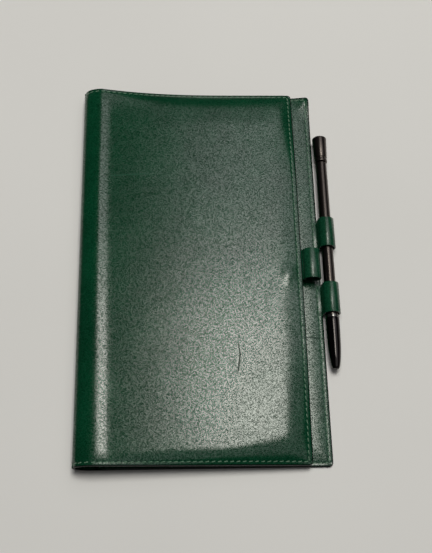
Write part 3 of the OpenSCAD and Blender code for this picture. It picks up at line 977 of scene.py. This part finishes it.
def sew_cover():
    """The seam shows as a row of stitches on each of the covers' four faces."""
    rows = (
        ("front_stitching", FRONT_W, front_point, outside, 1, 0.02, fold_with_front),
        ("front_lining_stitching", FRONT_W, front_point, lining_face, -1, 0.12, fold_with_front),
        ("strip_stitching", BACK_W, back_point, lining_face, 1, 0.02, fold_with_back),
        ("underside_stitching", BACK_W, back_point, outside, -1, 0.17, fold_with_back),
    )
    for name, width, point, depth, outward, sink, fold in rows:
        fold(sew(name, seam_path(width), point, depth, outward, sink * MM))


sew_cover()


# Insert booklet

def round_corners(piece, test, radius, segments=6):
    """Rounds the upright edges that pass the test."""
    edit(piece, "EDGE")
    close_edit()
    for edge in piece.data.edges:
        ends = [piece.data.vertices[i].co for i in edge.vertices]
        upright = abs(ends[0].x - ends[1].x) + abs(ends[0].y - ends[1].y) < 0.01 * MM
        edge.select = upright and test(ends[0])
    bpy.ops.object.mode_set(mode="EDIT")
    bpy.ops.mesh.bevel(offset=radius, segments=segments, affect="EDGES")
    close_edit()


def make_block(low, high):
    """Block of leaves between two corners, open for more cutting."""
    deselect()
    bpy.ops.mesh.primitive_cube_add(size=1)
    block = bpy.context.object
    for vertex in block.data.vertices:
        vertex.co = [high[k] if vertex.co[k] > 0 else low[k] for k in range(3)]
    return block


def make_leaves():
    """The back leaves step up onto the pocket; the front leaves are a plain block."""
    booklet_r = 4 * MM

    def at_fore_edge(place):
        return place.x > leaves_high.x - 0.1 * MM

    step_x = SPINE_X + POCKET_X - PLAY
    step_z = back_pocket_high.z + PLAY
    back = make_block((leaves_low.x, leaves_low.y, step_z), leaves_high)
    edit(back)
    bpy.ops.mesh.select_all(action="SELECT")
    bpy.ops.mesh.bisect(plane_co=(step_x, 0, 0), plane_no=(1, 0, 0))
    close_edit()
    pick(back, lambda face: face.normal.z < -0.5 and face.center.x < step_x)
    bpy.ops.object.mode_set(mode="EDIT")
    bpy.ops.mesh.select_mode(type="FACE")
    bpy.ops.mesh.extrude_region_move(TRANSFORM_OT_translate={"value": (0, 0, leaves_low.z - step_z)})
    close_edit()
    round_corners(back, at_fore_edge, booklet_r)
    front = make_block(front_leaves_low, front_leaves_high)
    round_corners(front, at_fore_edge, booklet_r)
    for piece, name, node, body in ((back, "back_leaf_block", "back_leaves", "cover_back"),
                                    (front, "front_leaf_block", "front_leaves", "insert_front")):
        round_edges(piece, 0.05 * MM, segments=1)
        finish_piece(piece, name, leaf_paper)
        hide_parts(node)
        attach(piece, body)


def sew_booklet():
    """Long flat stitches down the booklet's fold."""
    length = 12 * MM
    gap_share = 0.12
    fold_x = (thread_low.x + thread_high.x) / 2
    sewn_l = thread_high.y - thread_low.y
    count = round(sewn_l / (length * (1 + gap_share)))
    stitch = make_stitch(length, thread_high.x - thread_low.x)
    for vertex in stitch.data.vertices:
        vertex.co.z *= 0.5
    turn = Matrix.Rotation(math.radians(90), 4, "Z") @ Matrix.Rotation(math.radians(90), 4, "X")
    places = []
    for k in range(count):
        y = thread_low.y + (k + 0.5) * sewn_l / count
        places.append(Matrix.Translation(Vector((fold_x, y, FOLD_Z))) @ turn)
    sewing = join_row(stitch, places, "booklet_sewing", booklet_thread)
    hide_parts("insert_thread")
    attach(sewing, "cover_back")


make_leaves()
sew_booklet()


# Pen

barrel_low, barrel_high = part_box("pen_barrel")
ring_low, ring_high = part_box("pen_ring")
nose_low, nose_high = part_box("pen_nose")
knob_low, knob_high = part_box("pen_knob")
PEN_X = (barrel_low.x + barrel_high.x) / 2
PEN_Z = (barrel_low.z + barrel_high.z) / 2


def turn_part(name, node, body, outline, material, closed=True, bevel=0.06 * MM):
    """Turned part of the pen: a ring drawn out along the pen through the outline's radii and places.

    A closed outline comes back to its start; an open one starts on a disc and ends in a point."""
    radius, y = outline[0]
    deselect()
    fill = "NOTHING" if closed else "TRIFAN"
    bpy.ops.mesh.primitive_circle_add(vertices=72, radius=radius, fill_type=fill,
                                      location=(PEN_X, y, PEN_Z), rotation=(math.radians(90), 0, 0))
    part = bpy.context.object
    bpy.ops.object.transform_apply(location=True, rotation=True, scale=True)
    edit(part, "EDGE")
    bpy.ops.mesh.select_all(action="SELECT")
    if not closed:
        bpy.ops.mesh.region_to_loop()
    stops = outline[1:] + outline[:1] if closed else outline[1:]
    for next_radius, next_y in stops:
        bpy.ops.mesh.extrude_edges_move(TRANSFORM_OT_translate={"value": (0, next_y - y, 0)})
        scale = next_radius / radius
        bpy.ops.transform.resize(value=(scale, 1, scale), center_override=(PEN_X, next_y, PEN_Z))
        radius, y = next_radius, next_y
    close_edit()
    face_outwards(part)
    if bevel:
        round_edges(part, bevel, angle=25)
    finish_piece(part, name, material, smooth=35)
    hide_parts(node)
    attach(part, body)
    return part


def make_pen():
    """Barrel, ring, nose and knob. The outlines run along the pen, whose nose points down the page."""
    bore_r = 1.75 * MM
    barrel_r = (barrel_high.x - barrel_low.x) / 2
    y0 = barrel_low.y
    y1 = barrel_high.y
    turn_part("pen_barrel_tube", "pen_barrel", "pen", [
        (bore_r, y0), (barrel_r - 0.1 * MM, y0), (barrel_r, y0 + 0.15 * MM), (barrel_r, mix(y0, y1, 0.5)),
        (barrel_r, y1 - 0.3 * MM), (barrel_r - 0.2 * MM, y1), (bore_r, y1),
    ], gunmetal)

    ring_r = (ring_high.x - ring_low.x) / 2
    y0 = ring_low.y
    y1 = ring_high.y
    groove = 0.12 * MM
    turn_part("pen_ring_band", "pen_ring", "pen", [
        (bore_r - 0.05 * MM, y0), (ring_r - 0.15 * MM, y0), (ring_r, y0 + 0.15 * MM),
        (ring_r, mix(y0, y1, 0.42)), (ring_r - groove, mix(y0, y1, 0.5)), (ring_r, mix(y0, y1, 0.58)),
        (ring_r, y1 - 0.15 * MM), (ring_r - 0.15 * MM, y1), (bore_r - 0.05 * MM, y1),
    ], ring_metal, bevel=0)

    tip_y = nose_low.y
    base_y = ring_low.y
    base_r = (nose_high.x - nose_low.x) / 2
    end_r = 1.0 * MM
    hole_r = 0.5 * MM
    steps = 28
    curve = []
    for k in range(1, steps + 1):
        t = k / steps
        radius = mix(end_r, base_r, (1 - (1 - t) ** 2.2) ** 0.9)
        curve.append((radius, mix(tip_y, base_y, t ** 1.6)))
    turn_part("pen_nose_cone", "pen_nose", "pen", [
        (hole_r, tip_y), (end_r - 0.1 * MM, tip_y), *curve, (bore_r - 0.1 * MM, base_y),
        (bore_r - 0.1 * MM, nose_high.y), (1.25 * MM, nose_high.y), (1.25 * MM, tip_y + 7 * MM),
        (hole_r, tip_y + 3.5 * MM),
    ], nose_metal, bevel=0.04 * MM)

    stem_y = knob_low.y
    base_y = barrel_high.y + 0.3 * MM
    end_y = knob_high.y
    base_r = 2.8 * MM
    end_r = (knob_high.x - knob_low.x) / 2
    groove_r = base_r - 0.35 * MM
    stem_r = bore_r - 0.05 * MM
    turn_part("pen_knob_cap", "pen_knob", "knob", [
        (stem_r, stem_y), (stem_r, base_y), (base_r - 0.15 * MM, base_y), (base_r, base_y + 0.15 * MM),
        (base_r, base_y + 1.2 * MM), (groove_r, base_y + 1.35 * MM), (groove_r, base_y + 2.0 * MM),
        (base_r, base_y + 2.2 * MM), (mix(base_r, end_r, 0.45), mix(base_y, end_y, 0.6)),
        (end_r, end_y - 0.9 * MM), (end_r - 0.1 * MM, end_y - 0.4 * MM),
        (end_r - 0.45 * MM, end_y - 0.12 * MM), (end_r - 1.0 * MM, end_y),
        (end_r - 1.5 * MM, end_y - 0.1 * MM), (0.0001 * MM, end_y - 0.15 * MM),
    ], gunmetal, closed=False)


make_pen()


# CAD parts that keep their shape

def dress_nodes():
    """Gives the CAD parts inside the cover and the pen their finishes."""
    finishes = {
        "back_stiffener": grey_board, "front_stiffener": grey_board,
        "insert_back_card": booklet_card, "insert_front_card": booklet_card,
        "twist_spindle": plain_steel, "refill_tube": refill_brass, "refill_tip": plain_steel,
        "pen_spring": plain_steel,
    }
    for node, material in finishes.items():
        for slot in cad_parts[node].material_slots:
            slot.material = material


def press_spring():
    """Gives the spring a mesh of its own; it is not shortened by the refill's travel here."""
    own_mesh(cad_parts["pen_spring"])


dress_nodes()
press_spring()


# Stage

def add_floor():
    """Plain pale sheet under the holder."""
    deselect()
    bpy.ops.mesh.primitive_plane_add(size=6, location=(0, 0, -0.1 * MM))
    floor = bpy.context.object
    floor.name = "floor"
    material, tree, shader, place = new_material("floor_paper")
    cloud = add_node(tree, "ShaderNodeTexNoise", {"Vector": place, "Scale": 6.0})
    shade = add_range(tree, cloud.outputs["Fac"], 0.3, 0.7, 0.98, 1.02)
    pale = (0.60, 0.585, 0.555, 1)
    tree.links.new(add_mix(tree, 1.0, pale, shade, "MULTIPLY"), shader.inputs["Base Color"])
    shader.inputs["Roughness"].default_value = 0.9
    floor.data.materials.append(material)


def add_lamp(name, place, target, width, height, power):
    """Soft box that faces the target."""
    data = bpy.data.lights.new(name, "AREA")
    data.shape = "RECTANGLE"
    data.size = width
    data.size_y = height
    data.energy = power
    lamp = bpy.data.objects.new(name, data)
    bpy.context.scene.collection.objects.link(lamp)
    lamp.location = place
    aim = Vector(target) - Vector(place)
    lamp.rotation_euler = aim.to_track_quat("-Z", "Y").to_euler()
    return lamp


def light_stage():
    """A window beyond the far right corner, the room's other bright areas, and a fill with no reflection."""
    window = add_lamp("window", (0.23, 0.355, 1.5), (0.23, 0.355, 0), 0.32, 0.47, 4.6)
    window.data.color = (1.0, 1.0, 0.91)
    add_lamp("window_top", (0.245, 0.85, 1.5), (0.245, 0.85, 0), 0.35, 0.52, 1.05)
    add_lamp("room_side", (0.76, 1.3, 1.5), (0.76, 1.3, 0), 0.68, 1.6, 3.7)
    add_lamp("room_back", (0.35, 1.75, 1.5), (0.35, 1.75, 0), 0.7, 1.2, 1.8)
    add_lamp("room_right", (1.35, 0.1, 1.9), (1.35, 0.1, 0), 1.6, 2.2, 5.0)
    add_lamp("room_front", (0.15, -0.55, 1.9), (0.15, -0.55, 0), 0.9, 1.0, 1.4)
    fill = add_lamp("fill_box", (0.0, 0.35, 1.5), (0, 0, 0), 0.7, 0.7, 15.6)
    fill.visible_glossy = False
    world = bpy.data.worlds.new("studio")
    world.use_nodes = True
    bpy.context.scene.world = world
    background = world.node_tree.nodes["Background"]
    background.inputs["Color"].default_value = (0.9, 0.93, 1.0, 1)
    background.inputs["Strength"].default_value = 0.03
    bpy.context.scene.view_settings.view_transform = "Standard"


add_floor()
light_stage()
